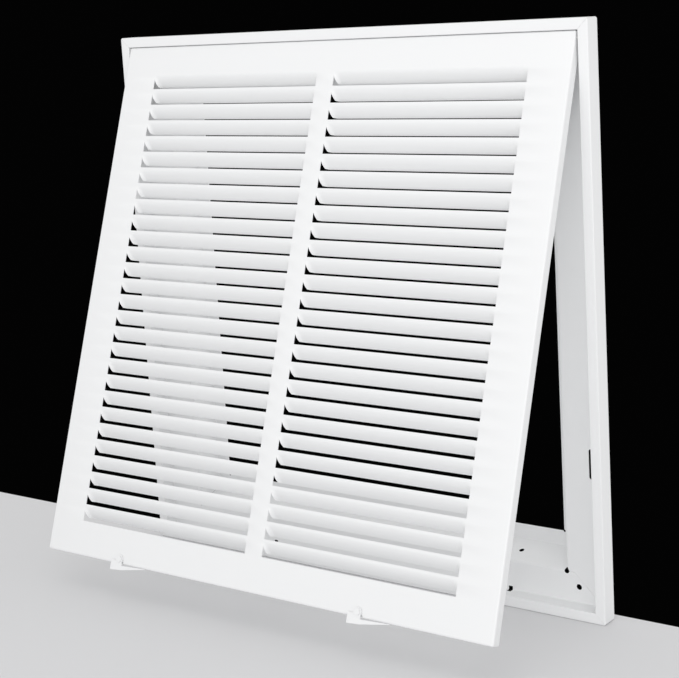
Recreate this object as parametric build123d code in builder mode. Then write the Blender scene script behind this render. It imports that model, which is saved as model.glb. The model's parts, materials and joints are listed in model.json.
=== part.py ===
"""Return air grille: a square frame of folded rails and a louvred door hinged at its top.

Millimetres. The wall is the plane Y = 0, the room is towards -Y and Z points up. The origin is
the middle of the frame on the wall. The door is drawn flat, with its hinge axis as the origin,
X to the right, Y up the door and Z out of its front, and is then turned open.
"""

import math
import os

from build123d import *

os.makedirs("parts", exist_ok=True)

# Frame: four folded rails, mitred at the corners
FRAME_SIZE = 571.5
FRAME_SHEET = 0.8
RIM_DEPTH = 18.5
RIM_FACE = 10.5
RIM_BEND = 1.6
FLOOR_BEND = 1.0
NECK_INSET = 43.5
NECK_TAPER = 9.5
NECK_DEPTH = 32.5
NECK_BEND = 3.0
LIP_WIDTH = 15.5
MITRE_GAP = 0.2
CORNER_RADIUS = 2.0

# Holes in the rails, placed from the frame's outer edges
SCREW_HOLE_RADIUS = 3.0
SCREW_FROM_SIDE = 35.7
SCREW_FROM_END = 26.0
NECK_HOLE_RADIUS = 3.15
NECK_HOLE_FROM_SIDE = 113.75
NECK_HOLE_Y = 27.5
SLOT_LENGTH = 30.0
SLOT_WIDTH = 5.0
SLOT_INSET = 19.5
SLOT_FROM_END = 152.0
RELIEF_RADIUS = 2.5
STRIKE_SIZE = 5.0
STRIKE_LIFT = 0.5

# Door: one sheet with folded-back edges, held in the rim's opening with these gaps
DOOR_SHEET = 0.8
DOOR_SIDE_GAP = 1.75
DOOR_TOP_GAP = 1.55
DOOR_BOTTOM_GAP = 1.25
DOOR_PROUD = 0.6
DOOR_FLANGE = 10.0
DOOR_BEND = 2.0
DOOR_OPEN = 19.8

# Louvres: two banks of lanced slats beside a plain middle bar, as many rows as the door takes
LOUVRE_PITCH = 17.22
LOUVRE_STRIP = 1.5
LOUVRE_DROP = 12.6
LOUVRE_START = 0.7
LOUVRE_DEPTH = 9.3
LOUVRE_CURVE = 1.45
LOUVRE_FACETS = 3
LOUVRE_CORNER = 3.0
LOUVRE_END_GAP = 0.5
MARGIN_TOP = 30.0
MARGIN_BOTTOM = 30.0
MARGIN_SIDE = 43.5
MULLION = 21.0

# Hinge pins, through the door's side flanges and the rim's inner walls
PIN_DEPTH = 5.0
PIN_DROP = 6.0
PIN_RADIUS = 2.0
PIN_HEAD_RADIUS = 3.5
PIN_HEAD = 1.2
PIN_TAIL = 1.5
PIN_FIT = 0.05
SEAT = 0.3

# Latch levers, turning on rivets through the door's face
LATCH_FROM_LEFT = 103.5
LATCH_FROM_RIGHT = 143.5
LATCH_RISE = 5.0
LATCH_SHEET = 1.0
LATCH_EAR = 4.5
LATCH_REACH = 43.0
LATCH_LIFT = 1.0
LATCH_LOCK = 6.5
ARM_HEIGHT = 3.0
TOOTH_DROP = 5.1
TOOTH_WIDTH = 2.5
TONGUE_DEPTH = 16.3
TAB_AHEAD = 0.4
TAB_LEFT = 10.5
TAB_RIGHT = 4.0
TAB_TOP = 1.5
TAB_BOTTOM = 11.9
TAB_RISE = 1.0
BAR_END = 36.0
BAR_TIP = 0.5
BAR_ROOT = 4.4
WEB_LEFT = 6.0
WEB_TOP = 4.0
NOTCH_LEFT = 8.0
NOTCH_RIGHT = 5.5
NOTCH_HEIGHT = 2.5
NOTCH_DEPTH = 3.5
RIVET_RADIUS = 2.0
RIVET_HEAD_RADIUS = 3.2
RIVET_HEAD = 0.8
RIVET_FIT = 0.05

# Worked out from the values above
HALF = FRAME_SIZE / 2
OPENING = FRAME_SIZE - 2 * RIM_FACE
DOOR_WIDTH = OPENING - 2 * DOOR_SIDE_GAP
DOOR_HEIGHT = OPENING - DOOR_TOP_GAP - DOOR_BOTTOM_GAP
DOOR_FRONT = -RIM_DEPTH - DOOR_PROUD
PIVOT_Y = DOOR_FRONT + PIN_DEPTH
PIVOT_Z = OPENING / 2 - DOOR_TOP_GAP - PIN_DROP
FACE_Z = PIN_DEPTH
TOP_Y = PIN_DROP
BOTTOM_Y = TOP_Y - DOOR_HEIGHT
BANK_WIDTH = (DOOR_WIDTH - MULLION) / 2 - MARGIN_SIDE
LOUVRE_ROWS = int((DOOR_HEIGHT - MARGIN_TOP - MARGIN_BOTTOM) / LOUVRE_PITCH)
NECK_HOLE_X = HALF - NECK_HOLE_FROM_SIDE
LATCH_X = (LATCH_FROM_LEFT - DOOR_WIDTH / 2, DOOR_WIDTH / 2 - LATCH_FROM_RIGHT)
LATCH_Y = BOTTOM_Y + LATCH_RISE
LATCH_Z = -DOOR_SHEET - SEAT
STRIKE_X = LATCH_REACH * math.cos(math.radians(LATCH_LOCK))
STRIKE_Y = DOOR_FRONT + TONGUE_DEPTH - TOOTH_WIDTH / 2
DOOR_PLACE = Location((0, PIVOT_Y, PIVOT_Z), (90 - DOOR_OPEN, 0, 0))


# One rail, folded from sheet, lying along the bottom of the frame
with BuildPart() as rail:
    with BuildSketch(Plane.YZ) as rail_section:
        with BuildLine() as rail_fold:
            FilletPolyline(
                (0, -HALF),
                (-RIM_DEPTH, -HALF),
                (-RIM_DEPTH, -HALF + RIM_FACE),
                (-FRAME_SHEET, -HALF + RIM_FACE),
                (-FRAME_SHEET, -HALF + NECK_INSET),
                (NECK_DEPTH - FRAME_SHEET, -HALF + NECK_INSET + NECK_TAPER),
                (NECK_DEPTH - FRAME_SHEET, -HALF + NECK_INSET + NECK_TAPER + LIP_WIDTH),
                radius=(RIM_BEND, RIM_BEND, FLOOR_BEND, NECK_BEND, FLOOR_BEND),
            )
            offset(amount=FRAME_SHEET, side=Side.RIGHT)
        make_face()
    extrude(amount=HALF, both=True)
    # The mitres, a little apart from the neighbours' mitres
    with BuildSketch(Plane.XZ) as mitre:
        with BuildLine():
            Polyline(
                (-FRAME_SIZE, -FRAME_SIZE - MITRE_GAP),
                (FRAME_SIZE, -FRAME_SIZE - MITRE_GAP),
                (0, -MITRE_GAP),
                close=True,
            )
        make_face()
    extrude(amount=FRAME_SIZE, both=True, mode=Mode.INTERSECT)
    # The frame's rounded outer corners
    with BuildSketch(Plane.XZ):
        RectangleRounded(FRAME_SIZE, FRAME_SIZE, CORNER_RADIUS)
    extrude(amount=FRAME_SIZE, both=True, mode=Mode.INTERSECT)
    # Reliefs where the folds of two rails meet at the neck
    relief_neck = HALF - NECK_INSET
    with BuildSketch(Plane.XZ):
        with GridLocations(2 * relief_neck, 2 * relief_neck, 2, 2):
            Circle(RELIEF_RADIUS)
    extrude(amount=NECK_BEND, both=True, mode=Mode.SUBTRACT)

# Top and bottom rails, with screw holes at their ends and holes in the neck
with BuildPart() as rail_top:
    add(rail.part.rotate(Axis.Y, 180))
    with BuildSketch(Plane.XZ):
        with Locations((0, HALF - SCREW_FROM_END)):
            with GridLocations(2 * (HALF - SCREW_FROM_SIDE), 1, 2, 1):
                Circle(SCREW_HOLE_RADIUS)
    extrude(amount=2 * FRAME_SHEET, both=True, mode=Mode.SUBTRACT)
    with BuildSketch(Plane.XY.offset(HALF - NECK_INSET)):
        with Locations((-NECK_HOLE_X, NECK_HOLE_Y), (NECK_HOLE_X, NECK_HOLE_Y)):
            Circle(NECK_HOLE_RADIUS)
    extrude(amount=-LIP_WIDTH, mode=Mode.SUBTRACT)
rail_top.part.label = "rail_top"

with BuildPart() as rail_bottom:
    add(rail.part)
    with BuildSketch(Plane.XZ):
        with Locations((0, -HALF + SCREW_FROM_END)):
            with GridLocations(2 * (HALF - SCREW_FROM_SIDE), 1, 2, 1):
                Circle(SCREW_HOLE_RADIUS)
    extrude(amount=2 * FRAME_SHEET, both=True, mode=Mode.SUBTRACT)
    with BuildSketch(Plane.XY.offset(-HALF + NECK_INSET)):
        with Locations((-NECK_HOLE_X, NECK_HOLE_Y), (NECK_HOLE_X, NECK_HOLE_Y)):
            Circle(NECK_HOLE_RADIUS)
    extrude(amount=LIP_WIDTH, mode=Mode.SUBTRACT)
    # Strike holes, one behind each latch, for its tooth
    with BuildSketch(Plane.XY.offset(-HALF + RIM_FACE + STRIKE_LIFT)):
        with Locations(*[(x + STRIKE_X, STRIKE_Y) for x in LATCH_X]):
            Rectangle(STRIKE_SIZE, STRIKE_SIZE)
    extrude(amount=-2 * FRAME_SHEET, mode=Mode.SUBTRACT)
rail_bottom.part.label = "rail_bottom"

# Side rails, with a slot near each end and a hole for the hinge pin
with BuildPart() as rail_left:
    add(rail.part.rotate(Axis.Y, 90))
    with BuildSketch(Plane.XZ):
        with Locations((-HALF + SLOT_INSET, 0)):
            with GridLocations(1, 2 * (HALF - SLOT_FROM_END), 1, 2):
                SlotOverall(SLOT_LENGTH, SLOT_WIDTH, rotation=90)
    extrude(amount=2 * FRAME_SHEET, both=True, mode=Mode.SUBTRACT)
    with BuildSketch(Plane.YZ.offset(-OPENING / 2 - FRAME_SHEET)):
        with Locations((PIVOT_Y, PIVOT_Z)):
            Circle(PIN_RADIUS + PIN_FIT)
    extrude(amount=FRAME_SHEET, mode=Mode.SUBTRACT)
rail_left.part.label = "rail_left"

with BuildPart() as rail_right:
    add(rail.part.rotate(Axis.Y, -90))
    with BuildSketch(Plane.XZ):
        with Locations((HALF - SLOT_INSET, 0)):
            with GridLocations(1, 2 * (HALF - SLOT_FROM_END), 1, 2):
                SlotOverall(SLOT_LENGTH, SLOT_WIDTH, rotation=90)
    extrude(amount=2 * FRAME_SHEET, both=True, mode=Mode.SUBTRACT)
    with BuildSketch(Plane.YZ.offset(OPENING / 2)):
        with Locations((PIVOT_Y, PIVOT_Z)):
            Circle(PIN_RADIUS + PIN_FIT)
    extrude(amount=FRAME_SHEET, mode=Mode.SUBTRACT)
rail_right.part.label = "rail_right"

# One louvre, curving back from the top of its opening, with its lower corners cut off
louvre_length = BANK_WIDTH - 2 * LOUVRE_END_GAP
louvre_fall = LOUVRE_DROP - LOUVRE_START
louvre_steps = [step / LOUVRE_FACETS for step in range(LOUVRE_FACETS + 1)]
with BuildPart() as louvre:
    with BuildSketch(Plane.YZ) as louvre_section:
        with BuildLine():
            Polyline(
                (0, FACE_Z),
                *[
                    (-LOUVRE_START - louvre_fall * t, FACE_Z - LOUVRE_DEPTH * t**LOUVRE_CURVE)
                    for t in louvre_steps
                ],
            )
            offset(amount=DOOR_SHEET, side=Side.LEFT, kind=Kind.INTERSECTION)
        make_face()
    extrude(amount=louvre_length / 2, both=True)
    corners = louvre.edges().filter_by(lambda edge: abs(edge.length - DOOR_SHEET) < 0.01)
    chamfer(corners.sort_by(Axis.Z)[:2], length=LOUVRE_CORNER)

# The door's sheet: a shallow pan, pierced and lanced
louvre_opening = LOUVRE_PITCH - LOUVRE_STRIP
bank_step = BANK_WIDTH + MULLION
first_louvre = TOP_Y - MARGIN_TOP - LOUVRE_STRIP
row_middle = first_louvre - (LOUVRE_ROWS - 1) * LOUVRE_PITCH / 2
with BuildPart() as door_panel:
    with BuildSketch(Plane.XY.offset(FACE_Z)):
        with Locations((0, (TOP_Y + BOTTOM_Y) / 2)):
            RectangleRounded(DOOR_WIDTH, DOOR_HEIGHT, DOOR_BEND)
    extrude(amount=-DOOR_FLANGE)
    fillet(door_panel.faces().sort_by(Axis.Z)[-1].edges(), radius=DOOR_BEND - 0.01)
    offset(amount=-DOOR_SHEET, openings=door_panel.faces().sort_by(Axis.Z)[0])
    with BuildSketch(Plane.XY.offset(FACE_Z)):
        with Locations((0, row_middle - louvre_opening / 2)):
            with GridLocations(bank_step, LOUVRE_PITCH, 2, LOUVRE_ROWS):
                Rectangle(BANK_WIDTH, louvre_opening)
    extrude(amount=-DOOR_SHEET, mode=Mode.SUBTRACT)
    with Locations((0, row_middle, 0)):
        with GridLocations(bank_step, LOUVRE_PITCH, 2, LOUVRE_ROWS):
            add(louvre.part)
    # Holes for the hinge pins, through both side flanges
    with BuildSketch(Plane.YZ):
        Circle(PIN_RADIUS + PIN_FIT)
    extrude(amount=DOOR_WIDTH, both=True, mode=Mode.SUBTRACT)
    # A rivet hole and a notch in the lower edge for each latch
    with BuildSketch(Plane.XY.offset(FACE_Z)):
        with Locations(*[(x, LATCH_Y) for x in LATCH_X]):
            Circle(RIVET_RADIUS + RIVET_FIT)
    extrude(amount=-DOOR_SHEET, mode=Mode.SUBTRACT)
    with BuildSketch(Plane.XY.offset(FACE_Z)):
        with Locations(*[(x, BOTTOM_Y) for x in LATCH_X]):
            with Locations(((NOTCH_RIGHT - NOTCH_LEFT) / 2, 0)):
                Rectangle(NOTCH_LEFT + NOTCH_RIGHT, 2 * NOTCH_HEIGHT)
    extrude(amount=-NOTCH_DEPTH, mode=Mode.SUBTRACT)
door_panel.part = DOOR_PLACE * door_panel.part
door_panel.part.label = "door_panel"

# Hinge pins, headed inside the door's flange and ending behind the rim's inner wall
pin_head_end = DOOR_WIDTH / 2 - DOOR_SHEET - SEAT
pin_end = OPENING / 2 + FRAME_SHEET + PIN_TAIL
with BuildPart() as hinge_pin_right:
    with BuildSketch(Plane.YZ.offset(pin_head_end - PIN_HEAD)):
        with Locations((PIVOT_Y, PIVOT_Z)):
            Circle(PIN_HEAD_RADIUS)
    extrude(amount=PIN_HEAD)
    with BuildSketch(Plane.YZ.offset(pin_head_end)):
        with Locations((PIVOT_Y, PIVOT_Z)):
            Circle(PIN_RADIUS)
    extrude(amount=pin_end - pin_head_end)
hinge_pin_right.part.label = "hinge_pin_right"

with BuildPart() as hinge_pin_left:
    add(mirror(hinge_pin_right.part, about=Plane.YZ, mode=Mode.PRIVATE))
hinge_pin_left.part.label = "hinge_pin_left"

# A latch lever, drawn about its rivet with the door's front face at Z = 0
with BuildPart() as lever:
    # The plate behind the face: an ear on the rivet and an arm to the tooth
    with BuildSketch(Plane.XY.offset(LATCH_Z)):
        Circle(LATCH_EAR)
        with BuildLine():
            Polyline(
                (0, -LATCH_EAR + LATCH_SHEET),
                (LATCH_REACH, LATCH_LIFT),
                (LATCH_REACH, LATCH_LIFT + ARM_HEIGHT),
                (0, LATCH_EAR),
                close=True,
            )
        make_face()
        with BuildLine():
            Polyline(
                (-WEB_LEFT, -LATCH_RISE),
                (TAB_RIGHT, -LATCH_RISE),
                (TAB_RIGHT, 0),
                (-TAB_RIGHT, 0),
                (-WEB_LEFT, -WEB_TOP),
                close=True,
            )
        make_face()
    extrude(amount=-LATCH_SHEET)
    # The fold that passes forward through the notch
    with BuildSketch(Plane.XZ.offset(LATCH_RISE)):
        with BuildLine():
            Polyline(
                (-WEB_LEFT, LATCH_Z - LATCH_SHEET),
                (TAB_RIGHT, LATCH_Z - LATCH_SHEET),
                (TAB_RIGHT, TAB_AHEAD + LATCH_SHEET),
                (-WEB_LEFT, TAB_AHEAD + LATCH_SHEET),
                close=True,
            )
        make_face()
    extrude(amount=-LATCH_SHEET)
    # The finger tab in front of the rim, with an ear on the rivet and a bar to the right
    with BuildSketch(Plane.XY.offset(TAB_AHEAD)):
        Circle(LATCH_EAR)
        with BuildLine():
            Polyline(
                (-TAB_LEFT, -TAB_TOP),
                (-TAB_LEFT, -TAB_BOTTOM),
                (TAB_RIGHT, -TAB_BOTTOM + TAB_RISE),
                (BAR_END, -LATCH_RISE - BAR_TIP),
                (BAR_END, -LATCH_RISE),
                (TAB_RIGHT, -TAB_BOTTOM + TAB_RISE + BAR_ROOT),
                (TAB_RIGHT, -TAB_TOP),
                close=True,
            )
        make_face()
    extrude(amount=LATCH_SHEET)
    # The tongue folded back from the arm's end, and its tooth
    with BuildSketch(Plane.YZ.offset(LATCH_REACH)):
        with BuildLine():
            Polyline(
                (LATCH_LIFT, LATCH_Z),
                (LATCH_LIFT + ARM_HEIGHT, LATCH_Z),
                (LATCH_LIFT + ARM_HEIGHT, -TONGUE_DEPTH),
                (LATCH_LIFT - TOOTH_DROP, -TONGUE_DEPTH),
                (LATCH_LIFT - TOOTH_DROP, -TONGUE_DEPTH + TOOTH_WIDTH),
                (LATCH_LIFT, -TONGUE_DEPTH + TOOTH_WIDTH),
                close=True,
            )
        make_face()
    extrude(amount=LATCH_SHEET / 2, both=True)
    with BuildSketch():
        Circle(RIVET_RADIUS + RIVET_FIT)
    extrude(amount=2 * LATCH_EAR, both=True, mode=Mode.SUBTRACT)

# The rivet that a lever turns on, with its head in front of the tab's ear
rivet_head_z = TAB_AHEAD + LATCH_SHEET + SEAT
with BuildPart() as rivet:
    with BuildSketch(Plane.XY.offset(rivet_head_z)):
        Circle(RIVET_HEAD_RADIUS)
    extrude(amount=RIVET_HEAD)
    with BuildSketch(Plane.XY.offset(rivet_head_z)):
        Circle(RIVET_RADIUS)
    extrude(amount=LATCH_Z - LATCH_SHEET - SEAT - rivet_head_z)

with BuildPart() as latch_lever_left:
    add(DOOR_PLACE * Location((LATCH_X[0], LATCH_Y, FACE_Z)) * lever.part)
latch_lever_left.part.label = "latch_lever_left"

with BuildPart() as latch_lever_right:
    add(DOOR_PLACE * Location((LATCH_X[1], LATCH_Y, FACE_Z)) * lever.part)
latch_lever_right.part.label = "latch_lever_right"

with BuildPart() as latch_rivet_left:
    add(DOOR_PLACE * Location((LATCH_X[0], LATCH_Y, FACE_Z)) * rivet.part)
latch_rivet_left.part.label = "latch_rivet_left"

with BuildPart() as latch_rivet_right:
    add(DOOR_PLACE * Location((LATCH_X[1], LATCH_Y, FACE_Z)) * rivet.part)
latch_rivet_right.part.label = "latch_rivet_right"

for piece in (
    rail_top,
    rail_bottom,
    rail_left,
    rail_right,
    door_panel,
    hinge_pin_left,
    hinge_pin_right,
    latch_lever_left,
    latch_lever_right,
    latch_rivet_left,
    latch_rivet_right,
):
    export_step(piece.part, "parts/" + piece.part.label + ".step")
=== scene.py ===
"""Return air grille with its louvred door hanging open, in soft studio light."""

import json
import math

import bmesh
import bpy
import numpy as np
from mathutils import Euler, Matrix, Vector


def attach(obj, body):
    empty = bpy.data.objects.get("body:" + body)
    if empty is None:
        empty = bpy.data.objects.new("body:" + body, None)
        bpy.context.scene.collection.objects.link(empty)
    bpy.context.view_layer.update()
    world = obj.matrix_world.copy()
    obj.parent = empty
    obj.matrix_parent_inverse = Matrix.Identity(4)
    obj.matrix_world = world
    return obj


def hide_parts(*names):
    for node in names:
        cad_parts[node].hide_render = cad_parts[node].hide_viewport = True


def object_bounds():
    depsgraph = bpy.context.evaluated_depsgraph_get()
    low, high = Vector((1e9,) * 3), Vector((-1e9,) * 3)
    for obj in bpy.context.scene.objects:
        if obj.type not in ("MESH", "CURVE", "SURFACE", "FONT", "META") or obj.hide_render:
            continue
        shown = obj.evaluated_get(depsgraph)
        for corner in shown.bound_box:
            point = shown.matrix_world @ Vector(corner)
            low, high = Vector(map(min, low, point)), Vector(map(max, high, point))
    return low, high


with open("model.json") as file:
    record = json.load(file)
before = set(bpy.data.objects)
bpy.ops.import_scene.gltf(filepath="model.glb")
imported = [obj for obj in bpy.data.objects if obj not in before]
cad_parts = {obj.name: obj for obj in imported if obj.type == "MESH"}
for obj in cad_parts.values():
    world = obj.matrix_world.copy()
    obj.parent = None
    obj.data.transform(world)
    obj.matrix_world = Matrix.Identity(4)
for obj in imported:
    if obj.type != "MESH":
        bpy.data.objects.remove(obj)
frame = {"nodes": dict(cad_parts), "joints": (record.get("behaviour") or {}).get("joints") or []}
cad_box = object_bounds()
joints = {joint["name"]: joint for joint in frame["joints"]}

# From the frame, in millimetres and degrees: the door's hinge, how far the door hangs open from
# its joint's closed end, the latches' rivets, and half the grille's width
PIVOT = 1000 * np.array(joints["door_hinge"]["pos_m"])
DOOR_OPEN = -joints["door_hinge"]["range_deg"][0]
RIVETS = 1000 * np.array([joints[f"latch_{side}_turn"]["pos_m"] for side in ("left", "right")])
FRAME_HALF = round(1000 * cad_box[1][0], 3)

# The photograph's camera: pixels of a 679 by 678 picture, metres and degrees in the part's frame
PHOTO_WIDTH = 679
PHOTO_HEIGHT = 678
FOCAL_PX = 1591.1
AXIS_ROW = 285.5
CAMERA_AT = Vector((0.95608, -1.30057, 0.31412))
CAMERA_YAW = 36.878
CAMERA_PITCH = -10.182
CAMERA_ROLL = 3.382
SENSOR_WIDTH = 36.0
NEAREST_SEEN = 0.05

# The door's sizes in millimetres, about its hinge axis: X right, Y up the door and Z out of its
# front. They are the source's, apart from a tighter bend and a drop that fits the gaps between
# the louvres in the photograph. Each notch reaches to the left and right of its latch's rivet.
FACE_Z = 5.0
TOP_Y = 6.0
BOTTOM_Y = -541.7
DOOR_WIDTH = 547.0
DOOR_SHEET = 0.8
DOOR_BEND = 1.6
DOOR_FLANGE = 10.0
LOUVRE_ROWS = 28
LOUVRE_PITCH = 17.22
LOUVRE_STRIP = 1.5
LOUVRE_DROP = 12.4
LOUVRE_START = 0.7
LOUVRE_DEPTH = 9.3
LOUVRE_CURVE = 1.45
MARGIN_TOP = 30.0
MARGIN_SIDE = 43.5
MULLION = 21.0
NOTCH_LEFT = 8.0
NOTCH_RIGHT = 5.5
NOTCH_HEIGHT = 2.5
NOTCH_DEPTH = 3.5
PIN_HOLE = 2.05

# How a louvre's ends are drawn out of the sheet, and how its free lower corners are cut back
END_DRAW = 6.5
CORNER_WIDTH = 2.6
CORNER_HEIGHT = 7.5
CORNER_POWER = 1.05

# The frame's folded rails, in millimetres: insets are taken in from the frame's outer edge. The
# side rails have a wider floor than the top and bottom ones.
FRAME_SHEET = 0.8
RIM_DEPTH = 18.5
RIM_FACE = 10.5
RIM_BEND = 0.9
FLOOR_BEND = 1.0
NECK_BEND = 3.0
NECK_INSET = 41.0
SIDE_NECK_INSET = 49.75
NECK_DEPTH = 32.5
LIP_INSET = 53.0
LIP_WIDTH = 15.5
CORNER_RADIUS = 2.0
MITRE_GAP = 0.1

# The rails' holes, in millimetres: X and Z from the frame's centre, Y back from the wall's face,
# and each strike hole's X from its latch's rivet. A strike hole goes through the fold at the foot
# of the recess, forward from the wall's face and up into the floor.
SCREW_X, SCREW_Z, SCREW_RADIUS = 249.25, 259.25, 3.0
NECK_HOLE_X, NECK_HOLE_Y, NECK_HOLE_RADIUS = 176.75, 16.0, 2.75
SLOT_X, SLOT_Z, SLOT_RADIUS, SLOT_LENGTH = 266.25, -133.75, 2.5, 30.0
STRIKE_FROM_RIVET = 42.3
STRIKE_WIDTH, STRIKE_FORWARD, STRIKE_RISE = 5.0, 6.0, 3.6
NECK_RELIEF_RADIUS, NECK_RELIEF_TIP = 2.9, 5.2
NECK_RELIEF_DEPTH = 9.0
FOLD_RELIEF_X, FOLD_RELIEF_Y, FOLD_RELIEF_RADIUS = 272.2, -15.5, 1.1
LIP_RELIEF = 1.4

# How finely the curves are divided, and how far a hole's cutter reaches past the sheet
LOUVRE_STEPS = 12
CORNER_STEPS = 8
DRAW_COLUMNS = (3.3, 4.0, 4.8, 5.6)
EDGE_STEPS = 6
FOLD_STEPS = 8
MITRE_STEPS = 4
CIRCLE_STEPS = 40
RELIEF_STEPS = 32
SLOT_STEPS = 16
CUT = 2.0

# The metres within which two points become one, the cosine past which a face counts as square to
# a plane, and the degrees past which an edge is sharp
WELD = 1e-6
SQUARE = 0.9999
SHARP = 40.0

# The finishes: roughness runs from the first value to the second as its noise goes from 0 to 1
WHITE_COAT = (0.84, 0.845, 0.85)
COAT_ROUGHNESS = (0.38, 0.46)
PEEL_SCALE = 420.0
WAVE_SCALE = 34.0
PEEL_SHARE = 0.35
PEEL_STRENGTH = 0.06
PEEL_HEIGHT = 0.0004
ZINC = (0.62, 0.62, 0.6)
ZINC_ROUGHNESS = (0.26, 0.42)
MOTTLE_SCALE = 700.0

# The studio, in metres and watts. The floor is a little below the grille and ends just behind the
# wall's face, so that the holes and gaps show the dark backdrop. Each lamp has its place, its aim,
# its width and height and its power.
FLOOR_DROP = 0.0002
FLOOR_SIDE = 1.6
FLOOR_NEAR = -1.9
FLOOR_FAR = 0.012
FLOOR_COLOUR = (0.7, 0.7, 0.71)
FLOOR_ROUGHNESS = 0.6
BACKDROP_COLOUR = (0.001, 0.001, 0.001)
LIGHT_COLOUR = (1.0, 1.0, 1.0)
AMBIENT = 0.811
LAMPS = {
    "key": ((0.35, -0.9, 1.3), (0.0, 0.0, 0.25), (1.2, 0.7), 2.6),
    "front": ((0.9, -2.4, 0.1), (0.0, 0.0, 0.0), (1.4, 1.4), 16.0),
    "side": ((2.4, -1.2, 0.5), (0.0, 0.0, 0.0), (1.4, 1.4), 5.1),
}


class Nodes:
    """A node tree, to which nodes are added one by one."""

    def __init__(self, tree):
        self.tree = tree

    def add(self, kind, settings=None, inputs=None, output=0):
        """A new node's output: its settings are made first, then its sockets' values or links."""
        node = self.tree.nodes.new(kind)
        for key, value in (settings or {}).items():
            setattr(node, key, value)
        for key, value in (inputs or {}).items():
            if isinstance(value, Socket):
                self.tree.links.new(value.socket, node.inputs[key])
            else:
                node.inputs[key].default_value = value
        return Socket(self, node.outputs[output])


class Socket:
    """One output of a node, on which + and * build Math nodes."""

    def __init__(self, nodes, socket):
        self.nodes = nodes
        self.socket = socket

    def math(self, operation, other):
        return self.nodes.add("ShaderNodeMath", {"operation": operation}, {0: self, 1: other})

    def __add__(self, other):
        return self.math("ADD", other)

    def __mul__(self, other):
        return self.math("MULTIPLY", other)

    __radd__ = __add__
    __rmul__ = __mul__


class Surface(Nodes):
    """A material being built around one Principled shader."""

    def __init__(self, name, colour, roughness, metallic=0.0):
        self.material = bpy.data.materials.new(name)
        self.material.use_nodes = True
        super().__init__(self.material.node_tree)
        self.shader = self.tree.nodes["Principled BSDF"]
        self.shader.inputs["Base Color"].default_value = rgba(colour)
        self.shader.inputs["Roughness"].default_value = roughness
        self.shader.inputs["Metallic"].default_value = metallic

    def noise(self, scale, detail):
        place = self.add("ShaderNodeTexCoord", output="Object")
        inputs = {"Vector": place, "Scale": scale, "Detail": detail}
        return self.add("ShaderNodeTexNoise", inputs=inputs)

    def drive(self, key, value):
        self.tree.links.new(value.socket, self.shader.inputs[key])


def rgba(colour):
    return (*colour, 1.0)


def powder_coat(name):
    """Sprayed and baked polyester: an even satin film with a fine orange peel."""
    low, high = COAT_ROUGHNESS
    surface = Surface(name, WHITE_COAT, (low + high) / 2)
    peel = surface.noise(PEEL_SCALE, detail=2.0)
    wave = surface.noise(WAVE_SCALE, detail=1.0)
    height = PEEL_SHARE * peel + wave
    film = {"Height": height, "Strength": PEEL_STRENGTH, "Distance": PEEL_HEIGHT}
    surface.drive("Normal", surface.add("ShaderNodeBump", inputs=film))
    surface.drive("Roughness", low + (high - low) * wave)
    return surface.material


def plated_steel(name):
    """Zinc plate on the hinge pins: a finely mottled bright metal."""
    low, high = ZINC_ROUGHNESS
    surface = Surface(name, ZINC, (low + high) / 2, metallic=1.0)
    mottle = surface.noise(MOTTLE_SCALE, detail=2.0)
    surface.drive("Roughness", low + (high - low) * mottle)
    return surface.material


def assign(node, material):
    for slot in node.material_slots:
        slot.material = material


def grid_cells(rows, columns):
    """Each cell's four corners, in a grid of points counted row by row.

    They come as four arrays: the cell's own point, the next in its row, and the two below them.
    """
    index = np.arange(rows * columns).reshape(rows, columns)
    return index[:-1, :-1], index[:-1, 1:], index[1:, :-1], index[1:, 1:]


def louvre_reach(u):
    """How far down a louvre's sheet reaches at u mm from its end.

    reach(u) = DROP - CORNER_HEIGHT * (1 - (1 - (1 - u / CORNER_WIDTH)^P)^(1 / P)) inside the
    corner, a superellipse of power P close to a straight cut, and DROP elsewhere.
    """
    inside = np.clip(1.0 - u / CORNER_WIDTH, 0.0, 1.0)
    rounding = (1.0 - inside**CORNER_POWER) ** (1.0 / CORNER_POWER)
    return LOUVRE_DROP - CORNER_HEIGHT * (1.0 - rounding)


def louvre_depth(u, v):
    """How far behind the face a louvre's sheet is, u mm from its end and v mm below its root.

    depth(u, v) = DEPTH * ((v - START) / (DROP - START))^CURVE * sin(90 deg * min(u / DRAW, 1)),
    and nothing above START.
    """
    fall = np.clip((v - LOUVRE_START) / (LOUVRE_DROP - LOUVRE_START), 0.0, None)
    drawn = np.sin(np.pi / 2 * np.clip(u / END_DRAW, 0.0, 1.0))
    return LOUVRE_DEPTH * fall**LOUVRE_CURVE * drawn


def notches():
    """The left and right side of each latch's notch in the door's bottom edge."""
    return [(x - NOTCH_LEFT, x + NOTCH_RIGHT) for x in RIVETS[:, 0]]


def in_notch(x):
    return np.any([(left < x) & (x < right) for left, right in notches()], axis=0)


def door_columns():
    """X of every column of the face's grid, and how far each is inside its bank of louvres.

    Columns that come within 0.0001 mm of each other are one.
    """
    outer = DOOR_WIDTH / 2 - DOOR_BEND
    far = DOOR_WIDTH / 2 - MARGIN_SIDE
    near = MULLION / 2
    corner = np.linspace(0.0, CORNER_WIDTH, CORNER_STEPS + 1)
    ends = np.concatenate([corner, DRAW_COLUMNS, [END_DRAW]])
    bank = np.concatenate([near + ends, far - ends[::-1], [(near + far) / 2]])
    xs = np.concatenate([bank, -bank, np.ravel(notches()), [-outer, outer]])
    xs = np.unique(np.round(xs, 4))
    return xs, np.minimum(np.abs(xs) - near, far - np.abs(xs))


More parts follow.
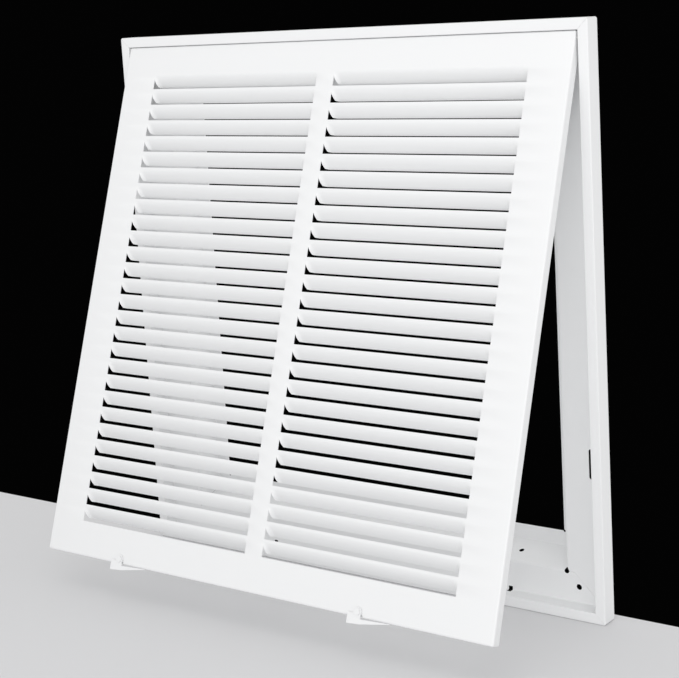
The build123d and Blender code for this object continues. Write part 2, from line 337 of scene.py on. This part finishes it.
def door_rows():
    """Y of every row of the face's grid where the sheet is flat, and the row's place on a louvre.

    Places run from 0 at a louvre's root to 1 at its free edge. The rows between louvres, above
    them and below them are at 0.
    """
    places = np.linspace(0.0, 1.0, LOUVRE_STEPS + 1)
    roots = TOP_Y - MARGIN_TOP - LOUVRE_STRIP - LOUVRE_PITCH * np.arange(LOUVRE_ROWS)
    strips = roots - LOUVRE_PITCH + LOUVRE_STRIP
    louvres = np.column_stack([np.repeat(roots[:, None], len(places), axis=1), strips])
    top = [TOP_Y - DOOR_BEND]
    bottom = [strips[-1] - LOUVRE_STRIP, BOTTOM_Y + NOTCH_HEIGHT, BOTTOM_Y + DOOR_BEND]
    flat = np.concatenate([top, louvres.ravel(), bottom])
    places = np.tile(np.append(places, 0.0), LOUVRE_ROWS)
    return flat, np.concatenate([[0.0], places, np.zeros(len(bottom))])


def door_surface():
    """The door's front surface: (points, faces), with the louvres drawn back from the face.

    point = (x, flat - v, FACE_Z - depth(u, v)), where u is how far the column is inside its bank
    and v = place * reach(u). The cells under a free edge are left open, and so are the notches.
    """
    xs, ends = door_columns()
    flat, places = door_rows()
    u = np.maximum(ends, 0.0)
    v = np.outer(places, louvre_reach(u))
    x = np.broadcast_to(xs, v.shape)
    points = np.stack([x, flat[:, None] - v, FACE_Z - louvre_depth(u, v)], axis=-1)
    here, right, below, across = grid_cells(*v.shape)
    middles = (xs[:-1] + xs[1:]) / 2
    out = np.abs(middles)
    bank = (MULLION / 2 < out) & (out < DOOR_WIDTH / 2 - MARGIN_SIDE)
    solid = np.ones(here.shape, bool)
    solid[np.ix_(places[:-1] == 1.0, bank)] = False
    solid[-1, in_notch(middles)] = False
    faces = np.stack([here, below, across, right], axis=-1)[solid]
    return add_skirt(points, faces.tolist())


def add_skirt(grid, faces):
    """The rounded bend and the flange behind it, swept round the edge of the face's grid.

    ring(a) = edge + out * BEND * sin(a), and back by BEND * (1 - cos(a)), a = 0 to 90 degrees,
    then straight back to the flange's end. Out turns through 90 degrees at each corner of the
    grid, and the first ring's cells there are triangles on the corner's one point.
    """
    rows, columns, _ = grid.shape
    index = np.arange(rows * columns).reshape(rows, columns)
    sides = (index[0], index[:, -1], index[-1, ::-1], index[::-1, 0])
    fan = 90.0 * np.arange(1, EDGE_STEPS) / EDGE_STEPS
    edge = []
    turns = []
    for side, turn in zip(sides, (90.0, 0.0, -90.0, -180.0)):
        edge += [side, np.full(len(fan), side[-1])]
        turns += [np.full(len(side), turn), turn - fan]
    edge = np.concatenate(edge)
    turns = np.concatenate(turns)
    points = grid.reshape(-1, 3)
    base = points[edge]
    angles = np.radians(turns)
    out = np.column_stack([np.cos(angles), np.sin(angles), np.zeros(len(angles))])
    bend = np.radians(90.0 * np.arange(1, EDGE_STEPS + 1) / EDGE_STEPS)
    reach = np.append(DOOR_BEND * np.sin(bend), [DOOR_BEND, DOOR_BEND])
    back = np.append(DOOR_BEND * (1 - np.cos(bend)), [NOTCH_DEPTH, DOOR_FLANGE])
    rings = base + reach[:, None, None] * out - back[:, None, None] * np.array([0.0, 0.0, 1.0])
    near = np.arange(rings[..., 0].size).reshape(rings.shape[:2]) + len(points)
    near = np.vstack([edge, near])
    far = np.roll(near, -1, axis=1)
    cells = np.stack([near[:-1], far[:-1], far[1:], near[1:]], axis=-1)
    middles = (base[:, 0] + np.roll(base[:, 0], -1)) / 2
    bottom = (turns == -90.0) & (np.roll(turns, -1) == -90.0)
    solid = np.ones(cells.shape[:2], bool)
    solid[:-1, bottom & in_notch(middles)] = False
    faces = faces + [list(dict.fromkeys(cell)) for cell in cells[solid].tolist()]
    return np.concatenate([points, rings.reshape(-1, 3)]), faces


def louvred_door(material):
    """The door's sheet, turned open about its hinge, in the place of the source's plainer one."""
    points, faces = door_surface()
    turn = math.radians(DOOR_OPEN)
    across = (1.0, 0.0, 0.0)
    up = (0.0, math.sin(turn), math.cos(turn))
    out = (0.0, -math.cos(turn), math.sin(turn))
    axes = np.array([across, up, out])
    edge = DOOR_WIDTH / 2
    prisms = [punch(circle(0, 0, PIN_HOLE), "X", side * edge) for side in (-1, 1)]
    rivets = (RIVETS - PIVOT) @ axes.T
    prisms += [punch(circle(x, y, PIN_HOLE), "Z", FACE_Z) for x, y, _ in rivets]
    holes = hole_cutters(prisms)
    place = Matrix(axes.T.tolist()).to_4x4()
    holes.data.transform(Matrix.Translation(Vector(PIVOT) / 1000) @ place)
    placed = PIVOT + points @ axes
    door = sheet_piece("louvred_door", placed, faces, DOOR_SHEET, material, axes, holes)
    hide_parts("door_panel")
    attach(door, "door")


def sheet_piece(name, points, faces, thickness, material, planes, holes):
    """A surface in millimetres given its sheet's thickness behind it, with its holes cut.

    Faces square to one of the planes' normals are shaded flat, all others smooth.
    """
    draft = bpy.data.meshes.new("draft")
    draft.from_pydata((points / 1000).tolist(), [], faces)
    draft.validate()
    shell = bpy.data.objects.new("draft", draft)
    bpy.context.scene.collection.objects.link(shell)
    weld = shell.modifiers.new("weld", "WELD")
    weld.merge_threshold = WELD
    solid = shell.modifiers.new("sheet", "SOLIDIFY")
    solid.thickness = thickness / 1000
    solid.offset = -1
    cut = shell.modifiers.new("holes", "BOOLEAN")
    cut.operation = "DIFFERENCE"
    cut.solver = "EXACT"
    cut.object = holes
    depsgraph = bpy.context.evaluated_depsgraph_get()
    mesh = bpy.data.meshes.new_from_object(shell.evaluated_get(depsgraph))
    bpy.data.objects.remove(shell)
    bpy.data.objects.remove(holes)
    mesh.name = name
    mesh.materials.clear()
    mesh.materials.append(material)
    normals = np.zeros(3 * len(mesh.polygons))
    mesh.polygons.foreach_get("normal", normals)
    square = np.abs(normals.reshape(-1, 3) @ np.array(planes).T) > SQUARE
    mesh.polygons.foreach_set("use_smooth", ~square.any(axis=1))
    mesh.set_sharp_from_angle(angle=math.radians(SHARP))
    piece = bpy.data.objects.new(name, mesh)
    bpy.context.scene.collection.objects.link(piece)
    return piece


def rounded_fold(line):
    """The (y, inset) points along a fold whose corners are given as (y, inset, bend radius).

    arc(t) = start + R * (into * sin(t) + side * (1 - cos(t))), for t up to the corner's turn. It
    starts R * tan(turn / 2) before the corner, so it is tangent to both sides.
    """
    corners = np.array(line, float)[:, :2]
    bends = [radius for _, _, radius in line]
    points = [corners[:1]]
    for before, corner, after, radius in zip(corners, corners[1:], corners[2:], bends[1:]):
        into = (corner - before) / np.linalg.norm(corner - before)
        away = (after - corner) / np.linalg.norm(after - corner)
        turn = math.atan2(into[0] * away[1] - into[1] * away[0], into @ away)
        side = np.array([-into[1], into[0]]) * math.copysign(1.0, turn)
        start = corner - into * radius * math.tan(abs(turn) / 2)
        angles = np.linspace(0.0, abs(turn), FOLD_STEPS + 1)[:, None]
        points.append(start + radius * (into * np.sin(angles) + side * (1 - np.cos(angles))))
    return np.concatenate([*points, corners[-1:]])


def mitre_inset(inset, own, other):
    """How far in from the frame's edge a rail ends, where its own points are inset mm in.

    45 degrees over the floors both rails have, then along the fold of the narrower one, and from
    there straight to the lip's corner, where both are LIP_INSET in.
    """
    both = (inset <= min(own, other)) | (inset >= LIP_INSET)
    neck = other + (inset - own) * (LIP_INSET - other) / (LIP_INSET - own)
    return np.where(both, inset, np.where(inset <= own, other, neck))


def rail_surface(own, other):
    """A rail along the bottom of the frame: (points, faces) of the side that shows.

    Its fold (y, inset) is carried along X between its ends, and their columns go round the
    frame's corner, whose radius r shrinks to none as the inset grows:
    x = HALF - end - r * (1 - sin(a)), z = inset + r * (1 - cos(a)) - HALF, a = 0 to 45 degrees.
    The fold gets a point at the narrower floor's inset, where the mitre turns, and a second one
    on the rail with that floor, whose end steps out to the other rail's fold there.
    """
    lip_y = NECK_DEPTH - FRAME_SHEET
    line = [
        (0, 0, 0),
        (-RIM_DEPTH, 0, RIM_BEND),
        (-RIM_DEPTH, RIM_FACE, RIM_BEND),
        (-FRAME_SHEET, RIM_FACE, FLOOR_BEND),
        (-FRAME_SHEET, own, NECK_BEND),
        (lip_y, LIP_INSET, FLOOR_BEND),
        (lip_y, LIP_INSET + LIP_WIDTH, 0),
    ]
    fold = rounded_fold(line)
    narrow = min(own, other)
    step = np.searchsorted(fold[:, 1], narrow, side="right")
    copies = 2 if own < other else 1
    fold = np.insert(fold, [step] * copies, (fold[step, 0], narrow), axis=0)
    y, inset = fold[:, :1], fold[:, 1:]
    end = mitre_inset(inset, own, other)
    if own < other:
        end[step + 1] = other
    radius = np.maximum(CORNER_RADIUS - inset, 0.0)
    angles = np.radians(np.linspace(0.0, 45.0, MITRE_STEPS + 1))
    x = FRAME_HALF - end - MITRE_GAP - radius * (1 - np.sin(angles))
    z = inset + radius * (1 - np.cos(angles)) - FRAME_HALF
    x = np.hstack([-x[:, ::-1], x])
    z = np.hstack([z[:, ::-1], z])
    points = np.stack([x, np.broadcast_to(y, x.shape), z], axis=-1)
    here, right, below, across = grid_cells(*x.shape)
    faces = np.stack([here, right, across, below], axis=-1)
    return points.reshape(-1, 3), faces.reshape(-1, 4).tolist()


def arc(x, y, radius, start, turn, steps):
    """Points (x + R * cos(a), y + R * sin(a)), for a from start on through turn degrees."""
    angles = np.radians(np.linspace(start, start + turn, steps + 1))
    return np.column_stack([x + radius * np.cos(angles), y + radius * np.sin(angles)])


def circle(x, y, radius):
    return arc(x, y, radius, 0, 360, CIRCLE_STEPS)[:-1]


def teardrop(x, y, radius, tip, turn):
    """A circle drawn out to a point, tip mm from its centre, at turn degrees."""
    side = math.degrees(math.acos(radius / tip))
    point = math.radians(turn)
    tip_at = (x + tip * math.cos(point), y + tip * math.sin(point))
    return np.vstack([arc(x, y, radius, turn + side, 360 - 2 * side, RELIEF_STEPS), tip_at])


def long_slot(x, y, radius, length):
    """A slot along X with half round ends, length mm from end to end."""
    flat = length / 2 - radius
    right = arc(x + flat, y, radius, -90, 180, SLOT_STEPS)
    left = arc(x - flat, y, radius, 90, 180, SLOT_STEPS)
    return np.vstack([right, left])


def punch(outline, axis, level):
    """A prism that goes through a sheet at that level of the axis."""
    return outline, axis, level - CUT, level + CUT


def hole_cutters(prisms):
    """Prisms in one object: (outline, axis, low, high), the outline in the two other axes."""
    points = []
    faces = []
    start = 0
    for outline, axis, low, high in prisms:
        outline = np.array(outline, float)
        column = "XYZ".index(axis)
        points += [np.insert(outline, column, level, axis=1) for level in (low, high)]
        count = len(outline)
        here = start + np.arange(count)
        there = np.roll(here, -1)
        faces += [here.tolist(), (here + count).tolist()]
        faces += np.column_stack([here, there, there + count, here + count]).tolist()
        start += 2 * count
    mesh = bpy.data.meshes.new("cutters")
    mesh.from_pydata((np.concatenate(points) / 1000).tolist(), [], faces)
    shape = bmesh.new()
    shape.from_mesh(mesh)
    bmesh.ops.recalc_face_normals(shape, faces=shape.faces)
    shape.to_mesh(mesh)
    shape.free()
    cutters = bpy.data.objects.new("cutters", mesh)
    bpy.context.scene.collection.objects.link(cutters)
    cutters.hide_render = True
    return cutters


def rail_holes(own, other, kind):
    """What is punched out of a rail drawn along the bottom, for the frame's side of that kind.

    The drop-shaped reliefs at the neck's corners point straight up or down into the frame, so
    they lie across the top and bottom rails and along the side ones.
    """
    prisms = []
    recess = RIM_FACE - FRAME_HALF
    lip = FRAME_HALF - LIP_INSET - LIP_WIDTH
    for side in (-1, 1):
        inward = 90 if kind in ("top", "bottom") else 90 + 90 * side
        corner = (side * (FRAME_HALF - other), own - FRAME_HALF)
        relief = teardrop(*corner, NECK_RELIEF_RADIUS, NECK_RELIEF_TIP, inward)
        prisms.append((relief, "Y", -NECK_BEND, NECK_RELIEF_DEPTH))
        prisms.append(punch(circle(side * lip, -lip, LIP_RELIEF), "Y", NECK_DEPTH))
        if kind in ("top", "bottom"):
            prisms.append(punch(circle(side * SCREW_X, -SCREW_Z, SCREW_RADIUS), "Y", 0.0))
            hole = circle(side * NECK_HOLE_X, NECK_HOLE_Y, NECK_HOLE_RADIUS)
            near, far = own - FRAME_HALF - CUT, LIP_INSET - FRAME_HALF + CUT
            prisms.append((hole, "Z", near, far))
    if kind in ("left", "right"):
        x = PIVOT[2] if kind == "right" else -PIVOT[2]
        prisms.append(punch(circle(x, PIVOT[1], PIN_HOLE), "Z", recess))
    if kind == "right":
        prisms.append(punch(long_slot(SLOT_Z, -SLOT_X, SLOT_RADIUS, SLOT_LENGTH), "Y", 0.0))
    if kind == "bottom":
        for side in (-1, 1):
            relief = circle(side * FOLD_RELIEF_X, FOLD_RELIEF_Y, FOLD_RELIEF_RADIUS)
            prisms.append(punch(relief, "Z", recess))
        for x in RIVETS[:, 0] + STRIKE_FROM_RIVET:
            left, right = x - STRIKE_WIDTH / 2, x + STRIKE_WIDTH / 2
            back, front = CUT, -STRIKE_FORWARD
            outline = [(left, back), (right, back), (right, front), (left, front)]
            prisms.append((outline, "Z", recess - CUT, recess + STRIKE_RISE))
    return hole_cutters(prisms)


def folded_rails(material):
    """The frame's four rails in sheet, in the place of the source's plainer ones."""
    for kind, turn in (("bottom", 0), ("top", 180), ("left", 90), ("right", -90)):
        own, other = NECK_INSET, SIDE_NECK_INSET
        if kind in ("left", "right"):
            own, other = other, own
        points, faces = rail_surface(own, other)
        holes = rail_holes(own, other, kind)
        neck = np.array([0.0, own - LIP_INSET, NECK_DEPTH])
        planes = ((0, 1, 0), (0, 0, 1), neck / np.linalg.norm(neck))
        name = f"folded_rail_{kind}"
        rail = sheet_piece(name, points, faces, FRAME_SHEET, material, planes, holes)
        rail.data.transform(Matrix.Rotation(math.radians(turn), 4, "Y"))
        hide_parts(f"rail_{kind}")
        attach(rail, "frame")


def area_light(name, at, aim, size, power):
    data = bpy.data.lights.new(name, "AREA")
    data.shape = "RECTANGLE"
    data.size, data.size_y = size
    data.energy = power
    lamp = bpy.data.objects.new(name, data)
    lamp.location = at
    lamp.rotation_euler = (Vector(aim) - Vector(at)).to_track_quat("-Z", "Y").to_euler()
    bpy.context.scene.collection.objects.link(lamp)


def studio_world():
    """Even light from all around, with the dark backdrop only where the camera looks."""
    world = bpy.data.worlds.new("studio")
    bpy.context.scene.world = world
    world.use_nodes = True
    nodes = Nodes(world.node_tree)
    plain = nodes.tree.nodes["Background"]
    plain.inputs["Color"].default_value = rgba(BACKDROP_COLOUR)
    backdrop = Socket(nodes, plain.outputs[0])
    lit = {"Color": rgba(LIGHT_COLOUR), "Strength": AMBIENT}
    light = nodes.add("ShaderNodeBackground", inputs=lit)
    seen = nodes.add("ShaderNodeLightPath", output="Is Camera Ray")
    mix = nodes.add("ShaderNodeMixShader", inputs={0: seen, 1: light, 2: backdrop})
    nodes.tree.links.new(mix.socket, nodes.tree.nodes["World Output"].inputs["Surface"])


def floor_slab():
    mesh = bpy.data.meshes.new("floor")
    level = cad_box[0][2] - FLOOR_DROP
    edges = ((-1, FLOOR_NEAR), (1, FLOOR_NEAR), (1, FLOOR_FAR), (-1, FLOOR_FAR))
    corners = [(side * FLOOR_SIDE, y, level) for side, y in edges]
    mesh.from_pydata(corners, [], [(0, 1, 2, 3)])
    mesh.materials.append(Surface("floor", FLOOR_COLOUR, FLOOR_ROUGHNESS).material)
    floor = bpy.data.objects.new("floor", mesh)
    bpy.context.scene.collection.objects.link(floor)


def photo_camera():
    """The lens and its small downward shift put the frame where the photograph has it."""
    data = bpy.data.cameras.new("camera")
    data.sensor_width = SENSOR_WIDTH
    data.lens = FOCAL_PX * SENSOR_WIDTH / PHOTO_WIDTH
    data.shift_y = (AXIS_ROW - PHOTO_HEIGHT / 2) / PHOTO_WIDTH
    data.clip_start = NEAREST_SEEN
    camera = bpy.data.objects.new("camera", data)
    turn = Euler((math.radians(90 + CAMERA_PITCH), 0, math.radians(CAMERA_YAW))).to_matrix()
    roll = Matrix.Rotation(math.radians(-CAMERA_ROLL), 3, "Z")
    camera.matrix_world = Matrix.Translation(CAMERA_AT) @ (turn @ roll).to_4x4()
    bpy.context.scene.collection.objects.link(camera)
    bpy.context.scene.camera = camera


coat = powder_coat("white_coat")
zinc = plated_steel("plated_steel")
for name, node in frame["nodes"].items():
    assign(node, zinc if name.startswith("hinge_pin") else coat)

louvred_door(coat)
folded_rails(coat)
floor_slab()
studio_world()
for lamp, (at, aim, size, power) in LAMPS.items():
    area_light(lamp, at, aim, size, power)
photo_camera()
bpy.context.scene.view_settings.view_transform = "Standard"
